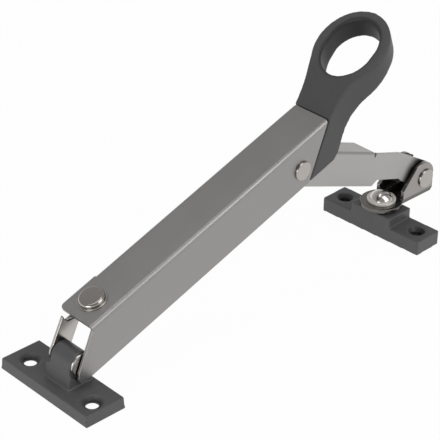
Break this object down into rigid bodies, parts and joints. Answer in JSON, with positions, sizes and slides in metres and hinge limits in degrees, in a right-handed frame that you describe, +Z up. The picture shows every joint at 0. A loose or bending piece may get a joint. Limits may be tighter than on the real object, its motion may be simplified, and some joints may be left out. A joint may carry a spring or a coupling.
{
  "type": "window stay",
  "caption": "Folding window stay: two screw plates, a long channel arm with a ring handle, and a short channel arm, joined by riveted hinges and swivels.",
  "frame": {"origin": "centre of the underside of the frame plate", "axes": "+X towards the sash plate, +Y along the plates, +Z up out of the surface the plates are screwed to"},
  "size_m": [0.2482, 0.063, 0.1228],
  "materials": {
    "dark_coat": "matt grey coating on a casting",
    "sheet": "satin sheet",
    "polished": "polished turned metal",
    "washer": "black washer"
  },
  "bodies": {
    "frame_plate_body": {"frame_plate": "dark_coat", "hinge_bush": "washer"},
    "bracket_body": {"swivel_bracket": "polished", "hinge_rivet": "polished", "hinge_washer": "washer", "swivel_rivet": "polished", "swivel_disc": "washer"},
    "long_arm_body": {"long_arm": "sheet", "swivel_ring": "polished", "handle": "dark_coat", "knee_rivet": "polished"},
    "short_arm_body": {"short_arm": "sheet", "knee_tube": "polished", "fork_tube": "polished"},
    "fork_body": {"fork": "sheet", "fork_rivet": "polished", "fork_shim_near": "washer", "fork_shim_far": "washer"},
    "sash_plate_body": {"sash_plate": "dark_coat", "swivel_stud": "polished", "stud_washer": "polished", "stud_pad": "washer"}
  },
  "joints": [
    {"name": "plate_hinge", "type": "hinge", "parent": "frame_plate_body", "child": "bracket_body", "pos_m": [0.0034, -0.0006, 0.0159], "axis": [0, -1, 0], "range_deg": [-19, 85]},
    {"name": "arm_swivel", "type": "hinge", "parent": "bracket_body", "child": "long_arm_body", "pos_m": [0.01885, 0.0006, 0.03805], "axis": [-0.3305, 0, 0.9438], "range_deg": [0, 90]},
    {"name": "knee", "type": "hinge", "parent": "long_arm_body", "child": "short_arm_body", "pos_m": [0.13588, -0.0006, 0.0642], "axis": [0, -1, 0], "range_deg": [-90, 39]},
    {"name": "fork_hinge", "type": "hinge", "parent": "short_arm_body", "child": "fork_body", "pos_m": [0.23092, -0.0006, 0.0229], "axis": [0, -1, 0], "range_deg": [-20, 75]},
    {"name": "stud_swivel", "type": "hinge", "parent": "fork_body", "child": "sash_plate_body", "pos_m": [0.20702, -0.0006, 0.016], "axis": [0, 0, 1], "range_deg": [-90, 90]}
  ]
}
